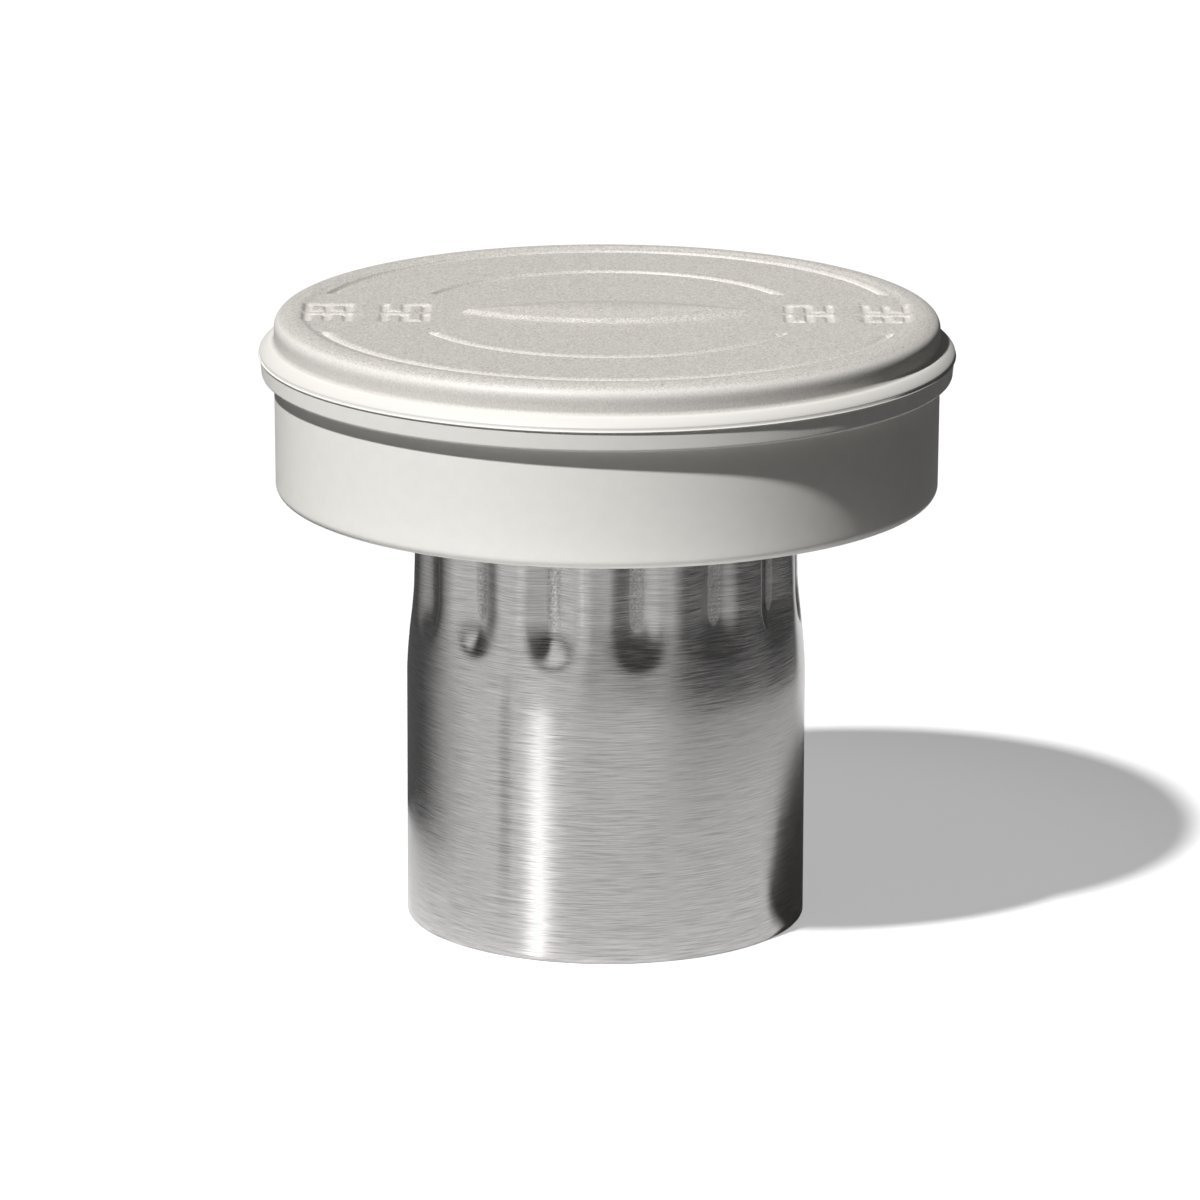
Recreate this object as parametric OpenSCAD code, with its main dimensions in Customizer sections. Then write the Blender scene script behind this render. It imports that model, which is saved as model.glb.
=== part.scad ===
// Double-sided round cookie cutter: a stainless tube with one plain and one fluted end,
// and a moulded cover that pulls off the fluted end. Millimetres, +Z up.
// The plain end stands on Z = 0, the tube's axis is the Z axis, and the front faces -Y.

/* [Cutter tube] */
// Outside diameter of the plain end
cutter_d = 25.4; // [22:0.1:27]
// Length of the tube, from the plain rim to the fluted rim
cutter_h = 35.3; // [32:0.1:45]
// Thickness of the stainless strip
sheet_t = 0.4; // [0.3:0.05:0.5]
// How far the fluted end is drawn in from the plain end
draw_in = 0.42; // [0.3:0.02:0.6]
// Height at which the tube starts to narrow towards the fluted end
neck_z = 16.6; // [14:0.1:18]
// Length of the narrowing stretch
neck_l = 6.8; // [4:0.1:9]

/* [Flutes] */
// Number of flutes round the scalloped end
flute_count = 14; // [8:1:15]
// Radius of each flute's round bottom
flute_r = 2; // [1.6:0.1:2.2]
// Depth of each flute below the ridges beside it
flute_depth = 0.68; // [0.4:0.02:0.8]
// Length of a flute, from the fluted rim to the foot of its bowl
flute_l = 16.4; // [13:0.1:20]
// Angle from the front to the first flute's middle, turning towards +X
flute_turn = 9.5; // [0:0.5:25]

/* [Cover shell] */
// Outside diameter of the larger cutter that the cover also takes
large_d = 38.1; // [36:0.1:44]
// Gap all round between a cutter and the wall that holds it
socket_gap = 0.1; // [0.05:0.05:0.3]
// Thickness of the skirt, at its top
skirt_t = 1.9; // [1.4:0.1:3]
// Length of the skirt below the web
skirt_l = 7.6; // [5:0.1:10]
// How much the skirt's outside narrows from top to bottom
skirt_draft = 0.05; // [0:0.01:0.2]
// Rounding of the skirt's lower outer edge
skirt_round = 0.6; // [0.2:0.1:1]
// Thickness of the web that sits on the tube, and of the band round its edge
web_t = 1.25; // [1:0.05:2.5]
// How far the band stands out from the skirt
band_out = 0.9; // [0.6:0.1:1.5]
// How far the band's straight side leans in towards its foot
band_lean = 0.1; // [0.05:0.05:0.3]
// Rounding of the band's lower edge
band_round = 0.4; // [0.2:0.05:0.6]
// Thickness of the inner collar's wall
collar_t = 1.4; // [1:0.1:2]
// Length of the inner collar below the web
collar_l = 7; // [4:0.1:9]
// Lead-in at the mouth of the collar and of the skirt
lead_in = 0.4; // [0.2:0.05:0.6]

/* [Cover pad] */
// Thickness of the pad, from the web to the press face
pad_t = 2.65; // [2:0.05:4]
// How far the pad's edge stands out past the band
pad_out = 0.1; // [0.05:0.05:0.3]
// Height of the pad's outer shoulder above the web
shoulder_h = 1.08; // [0.6:0.01:1.3]
// Upright stretch at the foot of the shoulder
shoulder_lip = 0.2; // [0.1:0.05:0.4]
// Squareness of the shoulder; 1 is a straight slope and 2 a plain ellipse
shoulder_factor = 1.2; // [1:0.1:2]
// Width of the ledge between the pad's edge and the raised disc
ledge_w = 1; // [0.8:0.05:1.6]
// Hollow rounding at the foot of the raised disc
foot_round = 0.3; // [0.1:0.05:0.4]
// Width of the disc's rolled edge, seen from above
roll_w = 1.6; // [1:0.1:2.2]
// Height of the disc's rolled edge
roll_h = 1; // [0.6:0.1:1.2]
// Squareness of the rolled edge; 2 is a plain ellipse
roll_factor = 2.7; // [2:0.1:4]

/* [Size rings] */
// Radius of the round-bottomed tool that cuts the rings
ring_tool_r = 0.5; // [0.3:0.05:0.8]
// Depth of the size rings in the press face
ring_depth = 0.3; // [0.1:0.02:0.4]
// Width of the clear place for a number, at each side of a ring
number_gap = 10.4; // [6:0.1:14]

/* [Raised lens] */
// Length of the plain raised lens in the middle of the press face
lens_l = 18.8; // [12:0.1:20]
// Width of the lens at its middle
lens_w = 5.9; // [4:0.1:8]
// Height of the lens above the press face
lens_h = 0.35; // [0.2:0.05:0.6]

/* [Hidden] */
$fn = 96;

// Steps along each curved stretch of an outline
curve_steps = 10;
// How far a cutting shape runs past the face that it cuts
past = 1;

// Tube
plain_r = cutter_d / 2;
ridge_r = plain_r - draw_in;
flute_step = 360 / flute_count;
flute_axis_r = ridge_r - flute_depth + flute_r;
flute_foot_z = cutter_h - flute_l;
bowl_z = flute_foot_z + sqrt(pow(flute_r, 2) - pow(flute_axis_r - plain_r, 2));

// Cover shell
seat_z = cutter_h;
web_top_z = seat_z + web_t;
collar_in_r = plain_r + socket_gap;
collar_out_r = collar_in_r + collar_t;
collar_z = seat_z - collar_l;
socket_r = large_d / 2 + socket_gap;
skirt_r = socket_r + skirt_t;
skirt_foot_r = skirt_r - skirt_draft;
skirt_z = seat_z - skirt_l;
band_r = skirt_r + band_out;
band_foot_r = band_r - band_lean;

// Cover pad
pad_r = band_r + pad_out;
press_z = web_top_z + pad_t;
ledge_z = web_top_z + shoulder_h;
disc_r = pad_r - ledge_w;
shoulder_w = ledge_w - foot_round;
lens_side_r = (pow(lens_l, 2) + pow(lens_w, 2)) / (4 * lens_w);

// A point on a rounded quarter of an outline, square being 2 for an ellipse
function round_point(middle, size, angle, square = 2) = [
    middle[0] + size[0] * sign(cos(angle)) * pow(abs(cos(angle)), 2 / square),
    middle[1] + size[1] * sign(sin(angle)) * pow(abs(sin(angle)), 2 / square)
];

// A rounded stretch of an outline from one angle to another
function round_run(middle, size, from, to, square = 2) = [
    for (i = [0 : curve_steps])
        round_point(middle, size, from + (to - from) * i / curve_steps, square)
];

// The tube's outline as a solid, drawn inwards by inset; the flutes come off it afterwards
module drawn_sleeve(inset, over) {
    rotate_extrude()
        polygon([
            [0, -over],
            [plain_r - inset, -over],
            [plain_r - inset, neck_z],
            [ridge_r - inset, neck_z + neck_l],
            [ridge_r - inset, cutter_h + over],
            [0, cutter_h + over]
        ]);
}

// The ring of round-nosed punches that press the flutes, each grown by grow
module flute_punches(grow) {
    for (i = [0 : flute_count - 1])
        rotate(flute_turn - 90 + i * flute_step)
            translate([flute_axis_r, 0, bowl_z]) {
                cylinder(r = flute_r + grow, h = cutter_h - bowl_z + 2 * past);
                sphere(r = flute_r + grow);
            }
}

// A solid with the tube's fluted form, drawn inwards by inset
module pressed_sleeve(inset, over) {
    difference() {
        drawn_sleeve(inset, over);
        flute_punches(inset);
    }
}

// Strip rolled into a tube, with the same thickness on the ridges and in the flutes
module cutter_tube() {
    color("silver")
        difference() {
            pressed_sleeve(0, 0);
            pressed_sleeve(sheet_t, past);
        }
}

// One turned outline: collar, socket for the larger cutter, skirt, band and web
module cover_shell() {
    color("gainsboro")
        rotate_extrude()
            polygon(concat(
                [
                    [0, seat_z],
                    [collar_in_r, seat_z],
                    [collar_in_r, collar_z + lead_in],
                    [collar_in_r + lead_in, collar_z],
                    [collar_out_r, collar_z],
                    [collar_out_r, seat_z],
                    [socket_r, seat_z],
                    [socket_r, skirt_z + lead_in],
                    [socket_r + lead_in, skirt_z]
                ],
                round_run(
                    [skirt_foot_r - skirt_round, skirt_z + skirt_round],
                    [skirt_round, skirt_round], -90, 0
                ),
                [[skirt_r, seat_z]],
                round_run(
                    [band_foot_r - band_round, seat_z + band_round],
                    [band_round, band_round], -90, 0
                ),
                [
                    [band_r, web_top_z],
                    [0, web_top_z]
                ]
            ));
}

// The two arcs of one size ring, with round ends beside the places for the numbers
module size_ring(ring_d) {
    ring_r = ring_d / 2;
    end_angle = asin((number_gap / 2 + ring_tool_r) / ring_r);
    tool_z = press_z - ring_depth + ring_tool_r;
    for (side = [0, 180]) {
        rotate(side + end_angle)
            rotate_extrude(angle = 180 - 2 * end_angle)
                translate([ring_r, tool_z])
                    circle(r = ring_tool_r, $fn = 32);
        for (end = [end_angle, 180 - end_angle])
            rotate(side + end)
                translate([ring_r, 0, tool_z])
                    sphere(r = ring_tool_r, $fn = 32);
    }
}

// A plain lens, where two round discs overlap, lying across the press face
module raised_lens() {
    translate([0, 0, press_z])
        linear_extrude(lens_h)
            intersection_for(side = [-1, 1])
                translate([0, side * (lens_side_r - lens_w / 2)])
                    circle(r = lens_side_r);
}

// The turned body of the press pad: a raised disc with a rolled edge on a sloping shoulder
module pad_body() {
    rotate_extrude()
        polygon(concat(
            [
                [0, web_top_z],
                [pad_r, web_top_z]
            ],
            round_run(
                [pad_r - shoulder_w, web_top_z + shoulder_lip],
                [shoulder_w, shoulder_h - shoulder_lip], 0, 90, shoulder_factor
            ),
            round_run(
                [disc_r + foot_round, ledge_z + foot_round],
                [foot_round, foot_round], 270, 180
            ),
            round_run(
                [disc_r - roll_w, press_z - roll_h],
                [roll_w, roll_h], 0, 90, roll_factor
            ),
            [[0, press_z]]
        ));
}

// The press pad, with the rings cut to the two cutters' true sizes
module cover_pad() {
    color("whitesmoke") {
        difference() {
            pad_body();
            size_ring(cutter_d);
            size_ring(large_d);
        }
        raised_lens();
    }
}

cutter_tube();
cover_shell();
cover_pad();
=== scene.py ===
# %% [markdown]
# # A double-sided cookie cutter
# A short steel tube stands on its plain round end, and its fluted end is pushed up into a pale
# plastic cover. The cover is a hard shell with a grainy pad on top, where the palm presses.
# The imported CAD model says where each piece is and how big, and it is loaded first. The looks are
# then built round it, in metres, with the same axes: Z is up, and the front faces -Y.

import math

import bpy
import numpy as np
from mathutils import Matrix, Vector


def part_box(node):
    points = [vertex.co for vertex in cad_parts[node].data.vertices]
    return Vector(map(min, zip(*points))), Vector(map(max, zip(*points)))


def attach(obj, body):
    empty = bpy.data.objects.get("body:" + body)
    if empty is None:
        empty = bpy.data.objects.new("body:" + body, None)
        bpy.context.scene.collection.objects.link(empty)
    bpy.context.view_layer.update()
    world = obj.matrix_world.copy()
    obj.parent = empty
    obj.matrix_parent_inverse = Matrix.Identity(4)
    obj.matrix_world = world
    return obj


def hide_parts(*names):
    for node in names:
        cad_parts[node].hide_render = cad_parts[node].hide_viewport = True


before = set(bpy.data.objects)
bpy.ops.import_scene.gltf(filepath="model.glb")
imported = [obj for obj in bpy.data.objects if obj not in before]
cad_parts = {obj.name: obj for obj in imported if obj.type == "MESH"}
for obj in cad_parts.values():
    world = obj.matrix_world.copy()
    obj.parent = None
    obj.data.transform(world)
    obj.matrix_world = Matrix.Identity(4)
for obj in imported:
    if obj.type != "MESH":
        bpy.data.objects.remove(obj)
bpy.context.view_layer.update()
print("CAD nodes:", sorted(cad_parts))

# %% [markdown]
# ## Sizes
# The outer sizes come from the boxes of the CAD nodes, so the looks can't drift away from the
# construction. The smaller sizes repeat the part's own driving dimensions, in millimetres. It helps
# to model small things with numbers that a caliper would show, and to turn them into metres in one
# place only, which is where a mesh is made.

# %% Sizes from the frame, in millimetres
MM = 0.001


def node_box(node):
    """Lowest and highest corner of a CAD node, in millimetres."""
    low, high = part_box(node)
    return np.array(low) / MM, np.array(high) / MM


tube_low, tube_high = node_box("cutter_tube")
shell_low, shell_high = node_box("cover_shell")
pad_low, pad_high = node_box("cover_pad")

plain_r = (tube_high[0] - tube_low[0]) / 2
tube_h = tube_high[2]
band_r = (shell_high[0] - shell_low[0]) / 2
skirt_z = shell_low[2]
web_top_z = shell_high[2]
pad_r = (pad_high[0] - pad_low[0]) / 2
lens_top_z = pad_high[2]
print(f"tube {2 * plain_r:.2f} x {tube_h:.2f}, cover {2 * pad_r:.2f} across, {lens_top_z:.2f} high")

# %% [markdown]
# ## Rows of points
# Every piece here is round, so each one is made as rows of points. A row is a closed loop round the
# Z axis, and neighbouring rows are joined with four-sided faces. A modeller could spin a curve with
# the Screw modifier instead. Rows made in code are chosen because the flutes, the rings and the
# numbers change the radius or the height from point to point.

# %% Mesh helpers


def around(columns):
    """Angles of evenly spaced columns, from the front (-Y) towards +X."""
    return np.arange(columns) * 2 * np.pi / columns


def turned(outline, angles):
    """Rows of points from an outline of (radius, height) pairs."""
    outline = np.array(outline, float)
    radius, height = outline[:, 0, None], outline[:, 1, None]
    flat = np.ones_like(angles)
    return np.stack([radius * np.sin(angles), -radius * np.cos(angles), height * flat], -1)


def piece_from_rows(name, rows, loop=False, poles=None):
    """A smooth-shaded piece from rows of points. poles are the heights of the two closing points
    on the axis, and loop joins the last row to the first."""
    count, columns, _ = rows.shape
    points = rows.reshape(-1, 3)
    index = np.arange(count * columns).reshape(count, columns)
    lower = index if loop else index[:-1]
    upper = np.roll(index, -1, 0) if loop else index[1:]
    quads = np.stack([lower, np.roll(lower, -1, 1), np.roll(upper, -1, 1), upper], -1)
    faces = quads.reshape(-1, 4).tolist()
    if poles:
        foot, crown = len(points), len(points) + 1
        points = np.vstack([points, [[0, 0, poles[0]], [0, 0, poles[1]]]])
        first, last = index[0], index[-1]
        faces += [[foot, b, a] for a, b in zip(first.tolist(), np.roll(first, -1).tolist())]
        faces += [[a, b, crown] for a, b in zip(last.tolist(), np.roll(last, -1).tolist())]
    mesh = bpy.data.meshes.new(name)
    mesh.from_pydata((points * MM).tolist(), [], faces)
    mesh.shade_smooth()
    mesh.update()
    piece = bpy.data.objects.new(name, mesh)
    bpy.context.scene.collection.objects.link(piece)
    print(f"{name}: {len(points)} points, {len(faces)} faces")
    return piece


def smoothstep(low, high, value):
    """0 below low, 1 above high, and an even S between them."""
    share = np.clip((value - low) / (high - low), 0, 1)
    return share * share * (3 - 2 * share)


def arc(middle, size, from_deg, to_deg, steps, squareness=2.0):
    """Points on a rounded corner of an outline; squareness 2 is a plain ellipse."""
    angles = np.radians(np.linspace(from_deg, to_deg, steps))
    power = 2 / squareness
    x = np.sign(np.cos(angles)) * np.abs(np.cos(angles)).round(12) ** power
    y = np.sign(np.sin(angles)) * np.abs(np.sin(angles)).round(12) ** power
    return [(middle[0] + size[0] * a, middle[1] + size[1] * b) for a, b in zip(x, y)]


# %% [markdown]
# ## The camera
# The photograph is taken from half a metre away with a long lens, looking down by about 15 degrees.
# A long lens keeps the far side of the round cover nearly as wide as the near side. The place, the
# tilt and the lens were worked out from the outlines of the cover and the tube, and the very small
# roll comes from the line between the two ends of the bead.

# %% Camera
CAMERA_PLACE = Vector((-0.40, -500.3, 151.6)) * MM
CAMERA_PITCH = math.radians(14.70)
CAMERA_ROLL = 0.0032
CAMERA_LENS = 243.5

camera_data = bpy.data.cameras.new("camera")
camera_data.lens = CAMERA_LENS
camera_data.sensor_width = 36
camera_data.clip_start = 0.02
camera_data.clip_end = 20
camera = bpy.data.objects.new("camera", camera_data)
bpy.context.scene.collection.objects.link(camera)
camera.matrix_world = (
    Matrix.Translation(CAMERA_PLACE)
    @ Matrix.Rotation(math.pi / 2 - CAMERA_PITCH, 4, "X")
    @ Matrix.Rotation(CAMERA_ROLL, 4, "Z")
)
bpy.context.scene.camera = camera
print(f"camera {CAMERA_PLACE.length / MM:.0f} mm away, lens {CAMERA_LENS} mm")

# %% [markdown]
# ## The white table
# The object stands on a white table whose only mark is the object's own shadow. A floor that is
# simply lit until it clips would put too much light on the object. So for rays that come straight
# from the camera the floor is part lamp-lit and part self-lit, which brings it up to white and
# leaves the shadow a mid grey. The glow is a little weaker further out: near the object it is
# painted light, standing in for the light that the object's pale sides throw into the near part of
# its shadow. Metal sees a plain pale floor with its full shadow. The light that the floor throws
# back is strong only close to the object, as from a small white table in a dim studio: it lights
# the lower rim of the cover from below, and the shaded side stays dark.

# %% Node helpers


def add(tree, kind, **values):
    """A node of that kind. Values name its own settings, or its inputs by their labels."""
    node = tree.nodes.new(kind)
    for name, value in values.items():
        label = name.replace("_", " ")
        if hasattr(node, name):
            setattr(node, name, value)
        else:
            node.inputs[label].default_value = value
    return node


def material_tree(name):
    """A new material with empty nodes, and its output."""
    material = bpy.data.materials.new(name)
    material.use_nodes = True
    tree = material.node_tree
    tree.nodes.clear()
    output = tree.nodes.new("ShaderNodeOutputMaterial")
    return material, tree, output


def either(tree, *values):
    """The largest of several values, as a chain of Maximum nodes."""
    found = values[0]
    for value in values[1:]:
        largest = add(tree, "ShaderNodeMath", operation="MAXIMUM")
        tree.links.new(found, largest.inputs[0])
        tree.links.new(value, largest.inputs[1])
        found = largest.outputs[0]
    return found


# %% Floor
FLOOR_HALF = 3.0
SEEN_FLOOR_COLOUR = (0.64, 0.64, 0.64, 1)
MIRRORED_FLOOR_COLOUR = (0.71, 0.71, 0.71, 1)
NEAR_R = 30
FAR_R = 60
# Camera-seen glow near and far; the extra glow near the object is painted light in its shadow
GLOW_WITH_PAINTED_BOUNCE = (0.41, 0.335)
GREY_NEAR_AND_FAR = (0.29, 0.10)


def fading(tree, away, near_and_far):
    """A number that runs smoothly from its near value to its far value with the distance away."""
    node = add(
        tree, "ShaderNodeMapRange", interpolation_type="SMOOTHSTEP",
        From_Min=NEAR_R * MM, From_Max=FAR_R * MM, To_Min=near_and_far[0], To_Max=near_and_far[1],
    )
    tree.links.new(away, node.inputs["Value"])
    return node.outputs[0]


floor_mesh = bpy.data.meshes.new("floor")
corners = [(-1, -1), (1, -1), (1, 1), (-1, 1)]
floor_mesh.from_pydata([(x * FLOOR_HALF, y * FLOOR_HALF, 0) for x, y in corners], [], [(0, 1, 2, 3)])
floor = bpy.data.objects.new("floor", floor_mesh)
bpy.context.scene.collection.objects.link(floor)

floor_material, tree, output = material_tree("white_table")
seen = add(tree, "ShaderNodeBsdfDiffuse", Color=SEEN_FLOOR_COLOUR)
glow = add(tree, "ShaderNodeEmission")
both = add(tree, "ShaderNodeAddShader")
mirrored = add(tree, "ShaderNodeBsdfDiffuse", Color=MIRRORED_FLOOR_COLOUR)
away = add(tree, "ShaderNodeVectorMath", operation="LENGTH")
tree.links.new(add(tree, "ShaderNodeTexCoord").outputs["Object"], away.inputs[0])
# Glow that fades with distance: painted light in the near part of the shadow
tree.links.new(fading(tree, away.outputs["Value"], GLOW_WITH_PAINTED_BOUNCE), glow.inputs["Strength"])
lighting = add(tree, "ShaderNodeBsdfDiffuse")
tree.links.new(fading(tree, away.outputs["Value"], GREY_NEAR_AND_FAR), lighting.inputs["Color"])
path = add(tree, "ShaderNodeLightPath")
by_metal = add(tree, "ShaderNodeMixShader")
by_camera = add(tree, "ShaderNodeMixShader")
through = either(tree, path.outputs["Is Glossy Ray"], path.outputs["Is Transmission Ray"])
tree.links.new(seen.outputs[0], both.inputs[0])
tree.links.new(glow.outputs[0], both.inputs[1])
tree.links.new(through, by_metal.inputs[0])
tree.links.new(lighting.outputs[0], by_metal.inputs[1])
tree.links.new(mirrored.outputs[0], by_metal.inputs[2])
tree.links.new(path.outputs["Is Camera Ray"], by_camera.inputs[0])
tree.links.new(by_metal.outputs[0], by_camera.inputs[1])
tree.links.new(both.outputs[0], by_camera.inputs[2])
tree.links.new(by_camera.outputs[0], output.inputs["Surface"])
floor_mesh.materials.append(floor_material)
print("floor half size", FLOOR_HALF, "m")

# %% [markdown]
# ## The light
# One small hard lamp stands at the front left, about 50 degrees up, and throws the crisp shadow to
# the right. A sun lamp is the simplest such lamp, because its angle alone sets how soft the edge of
# the shadow is. The world gives the weak even light of a white room to matt surfaces. Rays from the
# camera see a plain white room instead, and so would those that metal sends out, if the cards of the
# next step didn't stand in their way.

# %% Lamps and world
KEY_TURN = math.radians(39.8)
KEY_HEIGHT = math.radians(53.6)
KEY_STRENGTH = 4.2
KEY_ANGLE = math.radians(2.8)
ROOM_LIGHT = 0.05

key_data = bpy.data.lights.new("key", "SUN")
key_data.energy = KEY_STRENGTH
key_data.angle = KEY_ANGLE
key = bpy.data.objects.new("key", key_data)
bpy.context.scene.collection.objects.link(key)
travel = Vector((math.sin(KEY_TURN), math.cos(KEY_TURN), -math.tan(KEY_HEIGHT)))
key.rotation_euler = travel.to_track_quat("-Z", "Y").to_euler()

world = bpy.data.worlds.new("white_room")
bpy.context.scene.world = world
world.use_nodes = True
tree = world.node_tree
tree.nodes.clear()
path = add(tree, "ShaderNodeLightPath")
names = ("Is Camera Ray", "Is Glossy Ray", "Is Transmission Ray")
plain_white = either(tree, *[path.outputs[name] for name in names])
room = add(tree, "ShaderNodeBackground", Strength=ROOM_LIGHT)
white = add(tree, "ShaderNodeBackground", Strength=1.0)
for background in (room, white):
    background.inputs["Color"].default_value = (1, 1, 1, 1)
choose = add(tree, "ShaderNodeMixShader")
output = tree.nodes.new("ShaderNodeOutputWorld")
tree.links.new(plain_white, choose.inputs[0])
tree.links.new(room.outputs[0], choose.inputs[1])
tree.links.new(white.outputs[0], choose.inputs[2])
tree.links.new(choose.outputs[0], output.inputs["Surface"])
bpy.context.scene.view_settings.view_transform = "Standard"
print(f"key lamp {math.degrees(KEY_HEIGHT):.0f} degrees up, room light {ROOM_LIGHT}")

# %% [markdown]
# ## Cards for the metal
# Polished metal has hardly any colour of its own: it shows what stands round it. A photographer
# stands white and black cards round a steel tube to give it its stripes. These curved cards do the
# same. Each card fades out at its two ends, so that one tone runs softly into the next: its points
# carry how solid it is there, and the material mixes in transparency by that value. Only reflections
# see the cards, so they neither show in the picture nor shade the object.

# %% Reflection cards
CARD_COLUMNS = 96


def strip_mesh(name, points, columns):
    """A mesh of one row of faces between two rows of points, given in millimetres."""
    faces = [(i, i + 1, i + 1 + columns, i + columns) for i in range(columns - 1)]
    mesh = bpy.data.meshes.new(name)
    mesh.from_pydata((np.array(points) * MM).tolist(), [], faces)
    return mesh


def glowing_sheet(name, mesh, solid, glow, lights=False):
    """A sheet as bright as glow where solid is 1, and clear where it is 0. Only reflections see it,
    or, if it lights, only matt surfaces do, and only from the side its faces point to."""
    attribute = mesh.attributes.new("solid", "FLOAT", "POINT")
    attribute.data.foreach_set("value", solid)
    made = bpy.data.objects.new(name, mesh)
    bpy.context.scene.collection.objects.link(made)
    material, tree, output = material_tree(name)
    light = add(tree, "ShaderNodeEmission", Strength=glow)
    clear = add(tree, "ShaderNodeBsdfTransparent")
    choose = add(tree, "ShaderNodeMixShader")
    share = add(tree, "ShaderNodeAttribute", attribute_name="solid")
    tree.links.new(share.outputs["Fac"], choose.inputs[0])
    tree.links.new(clear.outputs[0], choose.inputs[1])
    tree.links.new(light.outputs[0], choose.inputs[2])
    surface = choose.outputs[0]
    if lights:
        one_side = add(tree, "ShaderNodeMixShader")
        tree.links.new(add(tree, "ShaderNodeNewGeometry").outputs["Backfacing"], one_side.inputs[0])
        tree.links.new(surface, one_side.inputs[1])
        tree.links.new(clear.outputs[0], one_side.inputs[2])
        surface = one_side.outputs[0]
    tree.links.new(surface, output.inputs["Surface"])
    mesh.materials.append(material)
    made.visible_camera = made.visible_shadow = False
    made.visible_transmission = made.visible_volume_scatter = False
    made.visible_diffuse = lights
    made.visible_glossy = not lights


def card(name, ends, radius, low, high, glow):
    """A curved card round the object. ends are four angles from the front towards +X: the card
    grows solid from the first to the second, and fades again from the third to the fourth."""
    angles = np.linspace(ends[0], ends[3], CARD_COLUMNS)
    solid = smoothstep(0, 1, np.interp(angles, ends, (0, 1, 1, 0)))
    turn = np.radians(angles)
    points = [(radius * math.sin(a), -radius * math.cos(a), z) for z in (low, high) for a in turn]
    mesh = strip_mesh(name, points, CARD_COLUMNS)
    glowing_sheet(name, mesh, np.concatenate([solid, solid]), glow)


# The angles of each card's ends, its radius, its lower and upper edge, and its glow
CARDS = {
    "black_card_left": ((-186, -180, -112, -62), 28, 0, 260, 0.1),
    "dark_strip_left": ((-52.5, -49, -47, -43.5), 30, 0, 14, 0.55),
    "pale_card_left": ((-150, -130, -20, -4), 95, 3, 26, 0.85),
    "pale_card_high": ((-84, -62, -34, -14), 100, 44, 170, 1.0),
    "pale_card_front": ((-22, 0, 30, 52), 112, 4, 26, 0.42),
    "dark_card_right": ((16, 54, 130, 144), 69, 0, 400, 0.08),
    "grey_card_behind": ((128, 146, 180, 190), 88, 4, 400, 0.12),
    "dark_room": ((-181, -180, 180, 181), 140, 0, 500, 0.04),
}
for card_name, card_place in CARDS.items():
    card(card_name, *card_place)
print("cards:", ", ".join(CARDS))

# %% [markdown]
# The bright upright stripe on the steel is a painted highlight: a glowing fan on the table, which
# only reflections see, stands in for the lamp's glare. A point of the tube that faces an angle
# mirrors the table along a line at twice that angle, so the glare is a fan whose rays leave the
# tube in those directions. It has a bright core on a wide faint band, as glare has.

# %% Painted glare on the table
GLARE_MIDDLE = -20.4
GLARE_HALF = 9.5
GLARE_START = 0.4
GLARE_REACH = 57
GLARE_LIFT = 0.02
GLARE_GLOW = 2.0
GLARE_CORE = 0.72
GLARE_CORE_W = 0.36
GLARE_COLUMNS = 40

facing = np.linspace(GLARE_MIDDLE - GLARE_HALF, GLARE_MIDDLE + GLARE_HALF, GLARE_COLUMNS)
points = [
    (
        plain_r * math.sin(a) + far * math.sin(2 * a),
        -plain_r * math.cos(a) - far * math.cos(2 * a),
        GLARE_LIFT,
    )
    for far in (GLARE_START, GLARE_REACH)
    for a in np.radians(facing)
]
# A glowing fan seen only in reflections: it paints the lamp's highlight on the steel
painted_glare_mesh = strip_mesh("painted_glare_fan", points, GLARE_COLUMNS)
away = np.abs(facing - GLARE_MIDDLE) / GLARE_HALF
solid = (1 - GLARE_CORE) * (1 - away) ** 1.5 + GLARE_CORE * np.exp(-((away / GLARE_CORE_W) ** 2))
glowing_sheet("painted_glare_fan", painted_glare_mesh, np.concatenate([solid, solid]), GLARE_GLOW)
print(f"glare fan {GLARE_REACH} mm long, round {GLARE_MIDDLE} degrees")

# %% [markdown]
# A second sheet works the other way round. The lit table throws light up at the front of the cover.
# An area lamp there would show in the metal, so a narrow sheet close under the skirt shines upwards
# and is seen by matt surfaces alone.

# %% Light from below
BELOW_ENDS = (-75, -15, 12, 60)
BELOW_RADII = (24.8, 20.6)
BELOW_HEIGHT = 24.0
BELOW_GLOW = 1.65

angles = np.linspace(BELOW_ENDS[0], BELOW_ENDS[3], CARD_COLUMNS)
points = [
    (radius * math.sin(a), -radius * math.cos(a), BELOW_HEIGHT)
    for radius in BELOW_RADII
    for a in np.radians(angles)
]
below_mesh = strip_mesh("light_from_below", points, CARD_COLUMNS)
solid = np.interp(angles, BELOW_ENDS, (0, 1, 1, 0))
glowing_sheet("light_from_below", below_mesh, np.concatenate([solid, solid]), BELOW_GLOW, lights=True)
print("light from below faces up:", below_mesh.polygons[0].normal.z > 0)

# %% [markdown]
# ## Shared effects
# A node group is a small machine that several materials can use with different settings. The first
# one here is a speckle: it turns the place on the object into a fine random value, for the sandy
# grain of the pad, the slight unevenness of the moulded shell and the blotches where the steel is
# rubbed. The second draws brushed lines: noise that is squeezed along Z and stretched sideways, as a
# belt of emery leaves it. Noise is chosen over a drawn picture, because it has no seam round a tube.

# %% Group helpers


def new_group(name, inputs, outputs):
    """A shader node group with the number inputs and number outputs named."""
    group = bpy.data.node_groups.new(name, "ShaderNodeTree")
    for label, value in inputs.items():
        socket = group.interface.new_socket(label, in_out="INPUT", socket_type="NodeSocketFloat")
        socket.default_value = value
    for label in outputs:
        group.interface.new_socket(label, in_out="OUTPUT", socket_type="NodeSocketFloat")
    return group, group.nodes.new("NodeGroupInput"), group.nodes.new("NodeGroupOutput")


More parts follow.
